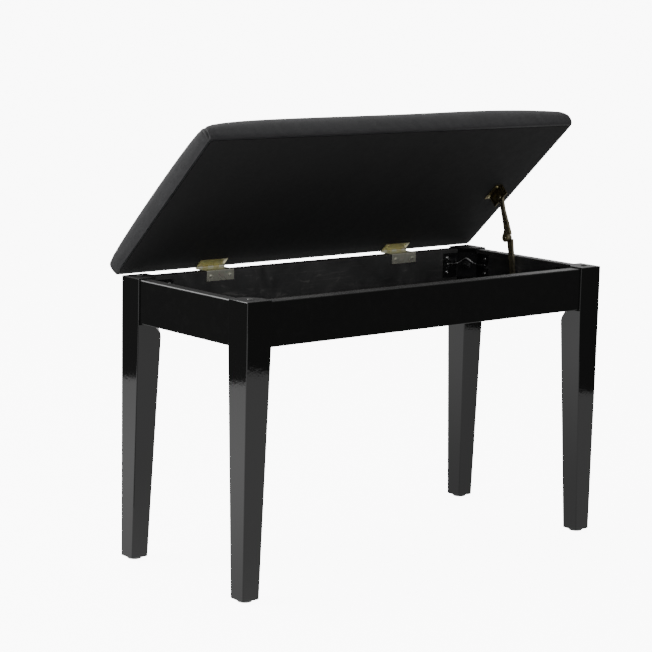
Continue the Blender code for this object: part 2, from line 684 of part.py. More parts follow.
def stay_rail_plate(name):
    x1 = X_INNER - 0.1
    x0 = x1 - 1.5
    y, z = P2
    poly = rounded([(y - 22.0, z - 7.5), (y + 22.0, z - 7.5), (y + 22.0, z + 7.5), (y - 22.0, z + 7.5)], 6.0, 4)
    bm = prism_bm(poly, 'X', x0, x1)
    ob = finish(name, bm, 'old_brass', origin=(x1, y, z))
    cuts = [cyl_bm((0, y, z), (1, 0, 0), 1.75, x0 - 3, x1 + 3)]
    for ys in STAY_RAIL_SCREWS:
        cuts.append(cyl_bm((0, ys, z), (1, 0, 0), 1.7, x0 - 3, x1 + 3))
    boolean(ob, cutter(name + '_cuts', cuts))
    return ob


STAY_RAIL_SCREWS = (P2[0] - 15.0, P2[0] + 15.0)

# ------------------------------------------------------------------ build
CORNERS = {'front_left': (-1, -1), 'front_right': (1, -1), 'back_left': (-1, 1), 'back_right': (1, 1)}

for tag, (sx, sy) in CORNERS.items():
    leg('leg_' + tag, sx, sy)
    corner_bracket('corner_bracket_' + tag, sx, sy)
    leg_bolt('leg_bolt_' + tag, sx, sy)
    leg_nut('leg_nut_' + tag, sx, sy)
    foot_glide('foot_glide_' + tag, sx, sy)
    lid_bumper('lid_bumper_' + tag, sx, sy)

HINGE_SCREWS = [side * HINGE_X + dx for side in (-1, 1) for dx in (-18.6, 18.6)]

long_rail('rail_front', -1, [])
long_rail('rail_back', 1, [(x, LOW_SCREW_Z) for x in HINGE_SCREWS])
end_rail('rail_left', -1, [])
end_rail('rail_right', 1, [(y, P2[1]) for y in STAY_RAIL_SCREWS])
bottom_panel('bottom_panel')

lid_pivot = bpy.data.objects.new('lid_pivot', None)
COLL.objects.link(lid_pivot)
lid_pivot.location = (0, (AXIS_Y + SHIFT_Y) * MM, AXIS_Z * MM)
lid_pivot.rotation_euler = (-TH, 0, 0)
LID = (lid_pivot, (0, AXIS_Y, AXIS_Z))

for tag, side in (('left', -1), ('right', 1)):
    hinge_leaf('hinge_lower_leaf_' + tag, side, True)
    hinge_leaf('hinge_upper_leaf_' + tag, side, False, LID)
    hinge_pin('hinge_pin_' + tag, side)
    for k, dx in (('a', -18.6), ('b', 18.6)):
        x = side * HINGE_X + dx
        screw('hinge_rail_screw_%s_%s' % (tag, k), (x, Y_INNER - 0.1 - LEAF_T, LOW_SCREW_Z), (0, -1, 0), 'brass')
        screw('hinge_lid_screw_%s_%s' % (tag, k), (x, UP_SCREW_Y, LID_UNDER - 0.1 - LEAF_T), (0, 0, -1), 'brass', head_h=1.1, parent=LID)

lid_holes = [(x, UP_SCREW_Y) for x in HINGE_SCREWS] + [(STAY_SCREW_X, y) for y in STAY_LID_SCREWS]
lid_board('lid_board', LID, lid_holes)
dust_cover('lid_dust_cover', LID, lid_holes)
seat_cushion('seat_cushion', LID)

stay_lid_bracket('stay_lid_bracket', LID)
for k, y in zip('ab', STAY_LID_SCREWS):
    screw('stay_lid_screw_' + k, (STAY_SCREW_X, y, LID_UNDER - 1.3), (0, 0, -1), 'brass', parent=LID)
rivet('stay_lid_rivet', P1, 329.8, 336.6, parent=LID, at=P1C)
stay_upper_arm('stay_upper_arm')
stay_lower_arm('stay_lower_arm')
rivet('stay_knuckle_rivet', PJ, 331.4, 336.7)
rivet('stay_rail_rivet', P2, 336.9, X_INNER - 0.15)
stay_rail_plate('stay_rail_plate')
for k, y in zip('ab', STAY_RAIL_SCREWS):
    screw('stay_rail_screw_' + k, (X_INNER - 1.6, y, P2[1]), (-1, 0, 0), 'brass', head_h=1.0)
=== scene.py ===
import bpy, bmesh, math
import numpy as np
from mathutils import Vector, Matrix, noise


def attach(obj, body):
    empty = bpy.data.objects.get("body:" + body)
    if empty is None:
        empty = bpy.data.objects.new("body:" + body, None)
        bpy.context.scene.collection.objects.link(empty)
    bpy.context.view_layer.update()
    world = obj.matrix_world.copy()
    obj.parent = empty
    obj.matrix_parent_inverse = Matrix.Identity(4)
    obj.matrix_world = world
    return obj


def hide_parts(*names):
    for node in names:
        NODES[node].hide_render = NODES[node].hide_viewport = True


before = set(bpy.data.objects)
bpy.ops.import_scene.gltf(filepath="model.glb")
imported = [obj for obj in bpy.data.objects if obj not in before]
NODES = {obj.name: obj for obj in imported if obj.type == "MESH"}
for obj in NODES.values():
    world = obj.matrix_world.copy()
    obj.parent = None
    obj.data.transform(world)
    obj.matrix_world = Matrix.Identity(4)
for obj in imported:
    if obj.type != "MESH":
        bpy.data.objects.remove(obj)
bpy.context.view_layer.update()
COLL = bpy.context.scene.collection

# the bench's own numbers, in metres, as the CAD has them
SHIFT_Y = -0.014959
AXIS = Vector((0.0, 0.1627 + SHIFT_Y, 0.45065))
OPEN = math.radians(43.42)
X_INNER, Y_INNER = 0.3453, 0.1361
WEB_SUM = (0.3684 - 0.0454) + (0.1592 - 0.0454) + 0.020 - 0.0012 * math.sqrt(2)
BR_T = 0.0018
BOLT_Z = 0.420

# ------------------------------------------------------------------ camera
cam_data = bpy.data.cameras.new('camera')
cam_data.sensor_fit = 'HORIZONTAL'
cam_data.sensor_width = 36.0
cam_data.lens = 116.695
cam_data.clip_end = 200.0
cam = bpy.data.objects.new('camera', cam_data)
COLL.objects.link(cam)
az, el, roll = math.radians(-39.9467), math.radians(9.574), math.radians(1.3057)
back = Vector((math.sin(az) * math.cos(el), -math.cos(az) * math.cos(el), math.sin(el)))
target = Vector((-0.0876181, SHIFT_Y, 0.3682040))
right = (-back).cross(Vector((0, 0, 1))).normalized()
up = right.cross(-back)
r2 = right * math.cos(roll) + up * math.sin(roll)
u2 = up * math.cos(roll) - right * math.sin(roll)
M = Matrix((r2, u2, back)).transposed().to_4x4()
M.translation = target + back * 3.339124
cam.matrix_world = M
bpy.context.scene.camera = cam
VIEW = Vector((-back.x, -back.y, 0)).normalized()      # level, away from the camera
SIDE = Vector((right.x, right.y, 0)).normalized()      # level, to the camera's right


# ------------------------------------------------------------------ node helpers
class Tree:
    def __init__(self, name):
        self.m = bpy.data.materials.new(name)
        self.m.use_nodes = True
        self.t = self.m.node_tree
        self.b = self.t.nodes['Principled BSDF']

    def new(self, kind, **props):
        n = self.t.nodes.new(kind)
        for k, v in props.items():
            setattr(n, k, v)
        return n

    def link(self, a, b):
        self.t.links.new(a, b)

    def coord(self, scale=(1, 1, 1), which='Object'):
        tc = self.new('ShaderNodeTexCoord')
        mp = self.new('ShaderNodeMapping')
        mp.inputs['Scale'].default_value = scale
        self.link(tc.outputs[which], mp.inputs['Vector'])
        return mp.outputs['Vector']

    def noise(self, scale, detail=3.0, rough=0.5, dist=0.0, vec=None, stretch=(1, 1, 1)):
        n = self.new('ShaderNodeTexNoise')
        n.inputs['Scale'].default_value = scale
        n.inputs['Detail'].default_value = detail
        n.inputs['Roughness'].default_value = rough
        n.inputs['Distortion'].default_value = dist
        self.link(vec or self.coord(stretch), n.inputs['Vector'])
        return n.outputs['Fac']

    def voronoi(self, scale, feature='F1', rand=1.0, out='Distance', vec=None, stretch=(1, 1, 1)):
        n = self.new('ShaderNodeTexVoronoi', feature=feature)
        n.inputs['Scale'].default_value = scale
        n.inputs['Randomness'].default_value = rand
        self.link(vec or self.coord(stretch), n.inputs['Vector'])
        return n.outputs[out]

    def ramp(self, fac, stops, interp='LINEAR'):
        n = self.new('ShaderNodeValToRGB')
        n.color_ramp.interpolation = interp
        els = n.color_ramp.elements
        while len(els) < len(stops):
            els.new(0.5)
        for e, (p, c) in zip(els, stops):
            e.position = p
            e.color = (*c, 1) if isinstance(c, (tuple, list)) else (c, c, c, 1)
        self.link(fac, n.inputs['Fac'])
        return n.outputs['Color']

    def mapr(self, v, a0, a1, b0, b1, smooth=False):
        n = self.new('ShaderNodeMapRange')
        if smooth:
            n.interpolation_type = 'SMOOTHSTEP'
        for i, x in zip(('From Min', 'From Max', 'To Min', 'To Max'), (a0, a1, b0, b1)):
            n.inputs[i].default_value = x
        self.link(v, n.inputs['Value'])
        return n.outputs['Result']

    def math(self, op, a, b=None):
        n = self.new('ShaderNodeMath', operation=op)
        for i, x in enumerate((a, b)):
            if x is None:
                continue
            if isinstance(x, (int, float)):
                n.inputs[i].default_value = x
            else:
                self.link(x, n.inputs[i])
        return n.outputs[0]

    def mix(self, fac, a, b):
        n = self.new('ShaderNodeMix', data_type='RGBA')
        for sock, x in (('A', a), ('B', b)):
            i = [s for s in n.inputs if s.name == sock and s.type == 'RGBA'][0]
            if isinstance(x, (tuple, list)):
                i.default_value = (*x, 1)
            else:
                self.link(x, i)
        f = [s for s in n.inputs if s.name == 'Factor' and s.type == 'VALUE'][0]
        if isinstance(fac, (int, float)):
            f.default_value = fac
        else:
            self.link(fac, f)
        return [s for s in n.outputs if s.type == 'RGBA'][0]

    def bump(self, height, strength, distance, normal=None):
        n = self.new('ShaderNodeBump')
        n.inputs['Strength'].default_value = strength
        n.inputs['Distance'].default_value = distance
        self.link(height, n.inputs['Height'])
        if normal is not None:
            self.link(normal, n.inputs['Normal'])
        return n.outputs['Normal']

    def facing(self, direction, lo, hi):
        """0..1 mask of where the surface faces a direction of the object."""
        tc = self.new('ShaderNodeTexCoord')
        d = self.new('ShaderNodeVectorMath', operation='DOT_PRODUCT')
        self.link(tc.outputs['Normal'], d.inputs[0])
        d.inputs[1].default_value = direction
        return self.mapr(d.outputs['Value'], lo, hi, 0, 1, True)

    def axis(self, which):
        tc = self.new('ShaderNodeTexCoord')
        s = self.new('ShaderNodeSeparateXYZ')
        self.link(tc.outputs['Object'], s.inputs['Vector'])
        return s.outputs[which]

    def edge(self, lo, hi):
        g = self.new('ShaderNodeNewGeometry')
        return self.mapr(g.outputs['Pointiness'], lo, hi, 0, 1, True)

    def set(self, **kw):
        names = {'color': 'Base Color', 'rough': 'Roughness', 'metal': 'Metallic', 'normal': 'Normal', 'coat': 'Coat Weight',
                 'coat_rough': 'Coat Roughness', 'sheen': 'Sheen Weight', 'sheen_rough': 'Sheen Roughness', 'spec': 'Specular IOR Level',
                 'ior': 'IOR', 'sheen_tint': 'Sheen Tint', 'coat_ior': 'Coat IOR'}
        for k, v in kw.items():
            i = self.b.inputs[names[k]]
            if isinstance(v, bpy.types.NodeSocket):
                self.link(v, i)
            elif isinstance(v, (tuple, list)):
                i.default_value = (*v, 1) if len(v) == 3 and i.type == 'RGBA' else v
            else:
                i.default_value = v
        return self.m


# ------------------------------------------------------------------ materials
def lacquer(name, inward=None, seed=0.0):
    """Black piano lacquer: deep gloss, faint orange peel, polishing haze, fine
    edge wear.  The side that looks into the storage well is only sprayed: satin,
    dusty, with rubbed and glue-smeared patches."""
    t = Tree(name)
    base = t.ramp(t.noise(5.0, 3, 0.5, 0.3), [(0.25, (0.0064, 0.0064, 0.0065)), (0.75, (0.0074, 0.0075, 0.0071))])
    haze = t.noise(26.0, 5, 0.62, 0.8)
    swirl = t.noise(210.0, 2, 0.5, 0.0, stretch=(1, 1, 0.25))
    rough = t.math('ADD', t.mapr(haze, 0.35, 0.75, 0.022, 0.05), t.mapr(swirl, 0.3, 0.8, 0.0, 0.012))
    wear = t.math('MULTIPLY', t.edge(0.56, 0.66), t.mapr(t.noise(70.0, 4, 0.6), 0.48, 0.72, 0, 0.16))
    color = t.mix(wear, base, (0.045, 0.045, 0.044))
    rough = t.math('ADD', rough, t.math('MULTIPLY', wear, 0.3))
    peel = t.noise(330.0, 2, 0.45)
    slow = t.noise(7.0, 1, 0.4)
    n = t.bump(peel, 0.05, 0.0004)
    n = t.bump(slow, 0.06, 0.0012, n)
    if inward:
        inside = t.facing(inward, 0.55, 0.75)
        cloud = t.noise(13.0, 5, 0.62, 1.1)
        rub = t.noise(34.0, 6, 0.7, 2.2, stretch=(0.45, 0.45, 1.3))
        streak = t.noise(85.0, 3, 0.6, 0.5, stretch=(0.18, 0.18, 3.2))
        satin = t.ramp(cloud, [(0.30, (0.030, 0.030, 0.0305)), (0.60, (0.055, 0.055, 0.0555)), (0.80, (0.085, 0.084, 0.083))])
        smear = t.math('MULTIPLY', t.mapr(rub, 0.55, 0.72, 0, 1, True), t.mapr(cloud, 0.46, 0.66, 0, 1, True))
        satin = t.mix(t.math('MULTIPLY', smear, 0.75), satin, (0.20, 0.197, 0.19))
        satin = t.mix(t.mapr(streak, 0.58, 0.74, 0, 0.35), satin, (0.12, 0.118, 0.114))
        color = t.mix(inside, color, satin)
        s_rough = t.math('SUBTRACT', t.mapr(cloud, 0.3, 0.8, 0.30, 0.46), t.math('MULTIPLY', smear, 0.06))
        rough = t.math('ADD', t.math('MULTIPLY', rough, t.math('SUBTRACT', 1.0, inside)), t.math('MULTIPLY', s_rough, inside))
        grain = t.noise(160.0, 5, 0.6, 0.3, stretch=(0.25, 0.25, 1.6))
        n = t.bump(t.math('MULTIPLY', grain, inside), 0.25, 0.0003, n)
    # up-facing tops are painted lighter and rougher: partly dust, partly a painted highlight for the sheen they catch;
    # the left rail's outer arris gets a painted highlight
    top = t.facing((0, 0, 1), 0.80, 0.95)
    dust = t.ramp(haze, [(0.3, (0.042, 0.042, 0.043)), (0.7, (0.070, 0.069, 0.068))])
    color = t.mix(top, color, dust)
    keep = t.math('SUBTRACT', 1.0, top)
    rough = t.math('ADD', t.math('MULTIPLY', rough, keep), t.math('MULTIPLY', top, 0.52))
    # painted highlight: the left rail's outer top arris, on the key-light side, is painted pale grey
    if inward and inward[0] > 0:
        painted_arris_highlight = t.facing((-0.7071, 0, 0.7071), 0.80, 0.95)
        color = t.mix(t.math('MULTIPLY', painted_arris_highlight, 0.9), color, (0.42, 0.42, 0.42))
    return t.set(color=color, rough=rough, normal=n, ior=1.52, spec=0.5)


def panel_paint():
    t = Tree('panel_paint')
    cloud = t.noise(8.0, 5, 0.6, 1.0)
    fibre = t.noise(420.0, 4, 0.7)
    rub = t.noise(30.0, 5, 0.7, 2.5)
    color = t.ramp(cloud, [(0.3, (0.012, 0.012, 0.012)), (0.7, (0.024, 0.024, 0.023))])
    color = t.mix(t.mapr(rub, 0.58, 0.78, 0, 0.5), color, (0.07, 0.068, 0.062))
    return t.set(color=color, rough=t.mapr(rub, 0.3, 0.8, 0.42, 0.62), normal=t.bump(fibre, 0.35, 0.0003), spec=0.4)


def raw_board():
    """Edge and faces of the plywood lid board, dyed black."""
    t = Tree('board_paint')
    ply = t.new('ShaderNodeTexWave', wave_type='BANDS', bands_direction='Z')
    ply.inputs['Scale'].default_value = 90.0
    ply.inputs['Distortion'].default_value = 1.5
    t.link(t.coord(), ply.inputs['Vector'])
    fibre = t.noise(300.0, 4, 0.7, stretch=(0.1, 1, 1))
    color = t.ramp(fibre, [(0.3, (0.010, 0.010, 0.010)), (0.8, (0.022, 0.021, 0.019))])
    return t.set(color=color, rough=0.62, normal=t.bump(t.math('ADD', fibre, t.math('MULTIPLY', ply.outputs['Fac'], 0.4)), 0.4, 0.0004))


def dust_cloth():
    """Spun-bonded black cover under the lid: pin-point emboss, loose fibres,
    pale rub marks and a few pressed creases."""
    t = Tree('dust_cloth')
    ca, sa = math.cos(-OPEN), math.sin(-OPEN)
    cells = t.voronoi(620.0, rand=0.35)
    fibre = t.noise(900.0, 5, 0.75, 0.4, stretch=(0.35, 1, 1))
    cloud = t.noise(7.0, 5, 0.6, 0.7)
    fine = t.noise(60.0, 5, 0.7, 1.0)
    color = t.ramp(cloud, [(0.30, (0.0085, 0.0085, 0.0088)), (0.75, (0.0125, 0.0125, 0.0127))])
    rub = t.math('MULTIPLY', t.mapr(t.noise(17.0, 6, 0.72, 3.2), 0.60, 0.74, 0, 1, True), t.mapr(fine, 0.4, 0.7, 0.2, 1))
    color = t.mix(t.math('MULTIPLY', rub, 0.42), color, (0.045, 0.044, 0.043))
    color = t.mix(t.mapr(fibre, 0.62, 0.85, 0, 0.35), color, (0.030, 0.030, 0.031))
    crease = t.new('ShaderNodeTexWave', wave_type='BANDS', bands_direction='X')
    crease.inputs['Scale'].default_value = 2.6
    crease.inputs['Distortion'].default_value = 9.0
    crease.inputs['Detail'].default_value = 3.0
    crease.inputs['Detail Scale'].default_value = 1.4
    t.link(t.coord((1, 0.6, 0.6)), crease.inputs['Vector'])
    n = t.bump(cells, 0.22, 0.00025)
    n = t.bump(fibre, 0.30, 0.0002, n)
    n = t.bump(crease.outputs['Fac'], 0.18, 0.0012, n)
    return t.set(color=color, rough=t.mapr(fine, 0.3, 0.8, 0.74, 0.90), normal=n, spec=0.28, sheen=0.05, sheen_rough=0.5)


def vinyl():
    """Black upholstery vinyl: pebbled grain over fine pores, paler and greyer along its convex edges."""
    t = Tree('vinyl')
    v = t.coord()
    wob = t.new('ShaderNodeVectorMath', operation='ADD')
    nz = t.new('ShaderNodeTexNoise')
    nz.inputs['Scale'].default_value = 260.0
    t.link(v, nz.inputs['Vector'])
    sc = t.new('ShaderNodeVectorMath', operation='SCALE')
    t.link(nz.outputs['Color'], sc.inputs[0])
    sc.inputs['Scale'].default_value = 0.0011
    t.link(v, wob.inputs[0])
    t.link(sc.outputs[0], wob.inputs[1])
    pebble = t.voronoi(560.0, feature='DISTANCE_TO_EDGE', vec=wob.outputs[0])
    crack = t.mapr(pebble, 0.0, 0.16, 0.0, 1.0, True)
    pores = t.noise(2300.0, 3, 0.6)
    cloud = t.noise(11.0, 4, 0.6, 0.6)
    mid = t.noise(48.0, 4, 0.6, 0.4)
    base = t.ramp(cloud, [(0.28, (0.0200, 0.0200, 0.0215)), (0.72, (0.0260, 0.0260, 0.0280))])
    color = t.mix(t.math('SUBTRACT', 1.0, t.mapr(crack, 0, 1, 0.45, 1.0)), base, (0.012, 0.012, 0.013))
    edge_pale = t.math('MULTIPLY', t.edge(0.505, 0.56), t.mapr(mid, 0.35, 0.7, 0.2, 0.7))
    color = t.mix(edge_pale, color, (0.045, 0.045, 0.047))
    rough = t.math('ADD', t.mapr(mid, 0.3, 0.75, 0.44, 0.54), t.math('MULTIPLY', t.math('SUBTRACT', 1.0, crack), 0.12))
    n = t.bump(crack, 0.28, 0.00022)
    n = t.bump(pores, 0.10, 0.00008, n)
    n = t.bump(mid, 0.12, 0.0009, n)
    return t.set(color=color, rough=rough, normal=n, spec=0.30, sheen=0.03, sheen_rough=0.45)


def brass(name, bright=1.0, seed=0.0):
    """Yellow zinc plating: brass colour that drifts to green and pink, drawn
    lines along the strip, small dark specks, paler rubbed edges."""
    t = Tree(name)
    cloud = t.noise(55.0, 4, 0.6, 1.2)
    tint = t.noise(120.0, 3, 0.55, 0.6)
    draw = t.noise(900.0, 3, 0.6, stretch=(0.03, 1, 1))
    color = t.ramp(cloud, [(0.25, (0.62, 0.56, 0.22)), (0.50, (0.79, 0.75, 0.38)), (0.75, (0.90, 0.88, 0.58))])
    color = t.mix(t.mapr(tint, 0.52, 0.72, 0, 0.55, True), color, (0.62, 0.70, 0.48))
    color = t.mix(t.mapr(tint, 0.46, 0.28, 0, 0.45, True), color, (0.82, 0.58, 0.50))
    color = t.mix(t.math('MULTIPLY', t.edge(0.53, 0.62), 0.6), color, (0.92, 0.86, 0.66))
    spot = t.mapr(t.noise(700.0, 2, 0.5), 0.66, 0.78, 0, 0.6)
    color = t.mix(spot, color, (0.22, 0.15, 0.06))
    rough = t.math('ADD', t.mapr(cloud, 0.3, 0.8, 0.24, 0.36), t.mapr(draw, 0.3, 0.8, 0.0, 0.08))
    return t.set(color=color, rough=rough, metal=1.0, normal=t.bump(draw, 0.14, 0.00008))


def pale_zinc(name):
    """The fixed leaves: a paler, silvery green copy of the plating with pink bloom."""
    t = Tree(name)
    cloud = t.noise(60.0, 4, 0.6, 1.2)
    tint = t.noise(110.0, 3, 0.55, 0.8)
    draw = t.noise(900.0, 3, 0.6, stretch=(0.03, 1, 1))
    color = t.ramp(cloud, [(0.25, (0.76, 0.78, 0.62)), (0.50, (0.88, 0.90, 0.75)), (0.75, (0.95, 0.94, 0.79))])
    color = t.mix(t.mapr(tint, 0.55, 0.72, 0, 0.5, True), color, (0.60, 0.74, 0.68))
    color = t.mix(t.mapr(tint, 0.46, 0.30, 0, 0.5, True), color, (0.84, 0.66, 0.60))
    color = t.mix(t.math('MULTIPLY', t.edge(0.53, 0.62), 0.6), color, (0.95, 0.93, 0.80))
    return t.set(color=color, rough=t.mapr(cloud, 0.3, 0.8, 0.26, 0.38), metal=0.82, normal=t.bump(draw, 0.14, 0.00008))


def old_brass(name):
    """Antique-finished strip steel: brown brass with small dark specks, worn to metal along its edges."""
    t = Tree(name)
    cloud = t.noise(70.0, 5, 0.62, 1.5)
    fine = t.noise(650.0, 3, 0.6, stretch=(1, 1, 0.25))
    color = t.ramp(cloud, [(0.25, (0.20, 0.180, 0.125)), (0.55, (0.33, 0.305, 0.225)), (0.80, (0.43, 0.405, 0.305))])
    color = t.mix(t.math('MULTIPLY', t.edge(0.53, 0.62), 0.6), color, (0.52, 0.46, 0.30))
    color = t.mix(t.mapr(fine, 0.60, 0.78, 0, 0.5), color, (0.13, 0.09, 0.05))
    rough = t.mapr(cloud, 0.25, 0.8, 0.30, 0.46)
    return t.set(color=color, rough=rough, metal=1.0, normal=t.bump(fine, 0.16, 0.0001))


def black_steel(name):
    t = Tree(name)
    cloud = t.noise(60.0, 4, 0.6, 0.8)
    orange = t.noise(520.0, 2, 0.5)
    color = t.ramp(cloud, [(0.3, (0.007, 0.007, 0.008)), (0.75, (0.013, 0.013, 0.014))])
    chip = t.math('MULTIPLY', t.edge(0.55, 0.66), t.mapr(t.noise(240.0, 3, 0.6), 0.5, 0.7, 0, 0.9))
    color = t.mix(chip, color, (0.16, 0.16, 0.16))
    return t.set(color=color, rough=t.mapr(cloud, 0.3, 0.8, 0.10, 0.20), normal=t.bump(orange, 0.12, 0.0003), ior=1.6, spec=0.62)


def bracket_brass(name):
    """Darker brown copy of the antique brass, bright only where it is rubbed."""
    t = Tree(name)
    cloud = t.noise(90.0, 4, 0.6, 1.0)
    color = t.ramp(cloud, [(0.3, (0.055, 0.045, 0.026)), (0.7, (0.13, 0.108, 0.062))])
    color = t.mix(t.math('MULTIPLY', t.edge(0.53, 0.62), 0.5), color, (0.50, 0.42, 0.22))
    return t.set(color=color, rough=t.mapr(cloud, 0.3, 0.8, 0.34, 0.50), metal=1.0, normal=t.bump(cloud, 0.1, 0.0001))


def rib_highlight_metal(name):
    """Pressed rib in a bright bare-metal colour: a painted highlight standing in for the gleam off its black finish."""
    t = Tree(name)
    cloud = t.noise(120.0, 4, 0.65, 0.8)
    color = t.ramp(cloud, [(0.35, (0.10, 0.10, 0.102)), (0.62, (0.42, 0.42, 0.42))])
    return t.set(color=color, rough=t.mapr(cloud, 0.3, 0.8, 0.22, 0.34), metal=1.0, normal=t.bump(cloud, 0.1, 0.0001))


def screw_steel(name):
    t = Tree(name)
    cloud = t.noise(400.0, 3, 0.6)
    color = t.ramp(cloud, [(0.3, (0.34, 0.34, 0.345)), (0.75, (0.62, 0.615, 0.61))])
    return t.set(color=color, rough=t.mapr(cloud, 0.3, 0.8, 0.18, 0.32), metal=1.0, normal=t.bump(cloud, 0.1, 0.0001))


def nylon():
    t = Tree('nylon')
    c = t.noise(220.0, 4, 0.6)
    color = t.ramp(c, [(0.3, (0.010, 0.010, 0.010)), (0.8, (0.022, 0.022, 0.021))])
    return t.set(color=color, rough=t.mapr(c, 0.3, 0.8, 0.36, 0.55), normal=t.bump(t.noise(900.0, 3, 0.6), 0.2, 0.0001), spec=0.12)


def bumper():
    """Milky soft plastic buffer."""
    t = Tree('bumper')
    c = t.noise(300.0, 3, 0.6)
    color = t.ramp(c, [(0.3, (0.09, 0.09, 0.088)), (0.8, (0.17, 0.17, 0.165))])
    m = t.set(color=color, rough=t.mapr(c, 0.3, 0.8, 0.16, 0.30), normal=t.bump(t.noise(700.0, 3, 0.6), 0.1, 0.0001), ior=1.49, spec=0.4)
    return m


def dress(node, m):
    ob = NODES[node]
    if len(ob.material_slots) == 0:
        ob.data.materials.append(m)
    for s in ob.material_slots:
        s.material = m


MATS = {'vinyl': vinyl(), 'cloth': dust_cloth(), 'board': raw_board(), 'panel': panel_paint(), 'steel': black_steel('black_steel'),
        'nylon': nylon(), 'bumper': bumper(), 'brass': brass('yellow_brass'), 'old': old_brass('antique_brass'),
        'screw': screw_steel('screw_steel'), 'rib': rib_highlight_metal('rib_highlight_metal'), 'darker_brass': bracket_brass('darker_stay_bracket_brass'), 'pale': pale_zinc('pale_zinc'), 'leg': lacquer('lacquer_leg')}
INWARD = {'rail_front': (0, 1, 0), 'rail_back': (0, -1, 0), 'rail_left': (1, 0, 0), 'rail_right': (-1, 0, 0)}
for n in NODES:
    if n in INWARD:
        m = lacquer('lacquer_' + n, INWARD[n])
    elif n.startswith('leg_bolt') or n.startswith('leg_nut') or n.startswith('corner_bracket'):
        m = MATS['steel']
    elif n.startswith('leg_'):
        m = MATS['leg']
    elif n.startswith('foot_glide'):
        m = MATS['nylon']
    elif n.startswith('lid_bumper'):
        m = MATS['bumper']
    elif n == 'bottom_panel':
        m = MATS['panel']
    elif n == 'lid_board':
        m = MATS['board']
    elif n == 'lid_dust_cover':
        m = MATS['cloth']
    elif n == 'seat_cushion':
        m = MATS['vinyl']
    elif n.startswith('hinge_lower') or n.startswith('hinge_rail_screw'):
        m = MATS['pale']
    elif n.startswith('hinge') or 'screw' in n:
        m = MATS['brass']
    elif n == 'stay_lid_bracket':
        m = MATS['darker_brass']
    else:
        m = MATS['old']
    dress(n, m)


# ------------------------------------------------------------------ mesh helpers
def add_mesh(name, bm, m, smooth=40):
    bmesh.ops.recalc_face_normals(bm, faces=bm.faces)
    me = bpy.data.meshes.new(name)
    bm.to_mesh(me)
    bm.free()
    for p in me.polygons:
        p.use_smooth = True
    if smooth:
        me.set_sharp_from_angle(angle=math.radians(smooth))
    me.materials.append(m)
    ob = bpy.data.objects.new(name, me)
    COLL.objects.link(ob)
    return ob


def lid_matrix():
    """Closed lid to open lid."""
    return Matrix.Translation(AXIS) @ Matrix.Rotation(-OPEN, 4, 'X') @ Matrix.Translation(-AXIS)


# ------------------------------------------------------------------ seat cushion
BX, BY, LSY = 0.3712, 0.1612, -0.0002 + SHIFT_Y
Z_LIP = 0.4533
Z_IN = 0.4662
NX, NY, NC = 124, 54, 6
# side of the upholstery from the rim up: distance past the board, height, plan radius (mm)
PAD = [(5.0, 453.3, 5.5), (5.7, 455.2, 5.8), (6.6, 459.0, 6.2), (7.3, 464.0, 6.8), (7.6, 469.0, 7.6), (7.4, 474.0, 8.8),
       (6.6, 479.0, 10.4), (5.0, 483.6, 12.6), (2.2, 487.6, 15.4), (-2.0, 490.8, 18.0), (-7.4, 493.2, 20.0), (-13.4, 494.8, 21.0)]
GRID_IN = 0.0225


def plan_ring(hx, hy, r):
    """Rounded rectangle: NC arc steps per corner, NX and NY steps per side."""
    pts = []
    for cx, cy, a0, n_s in ((1, 1, 0, NX), (-1, 1, 90, NY), (-1, -1, 180, NX), (1, -1, 270, NY)):
        arc_pts = [(cx * (hx - r) + r * math.cos(math.radians(a0 + 90.0 * k / NC)), cy * (hy - r) + r * math.sin(math.radians(a0 + 90.0 * k / NC))) for k in range(NC + 1)]
        pts += arc_pts
        nxt = {(1, 1): (-1, 1), (-1, 1): (-1, -1), (-1, -1): (1, -1), (1, -1): (1, 1)}[(cx, cy)]
        a1 = a0 + 90
        q = (nxt[0] * (hx - r) + r * math.cos(math.radians(a1)), nxt[1] * (hy - r) + r * math.sin(math.radians(a1)))
        p = arc_pts[-1]
        pts += [(p[0] + (q[0] - p[0]) * k / n_s, p[1] + (q[1] - p[1]) * k / n_s) for k in range(1, n_s)]
    return pts


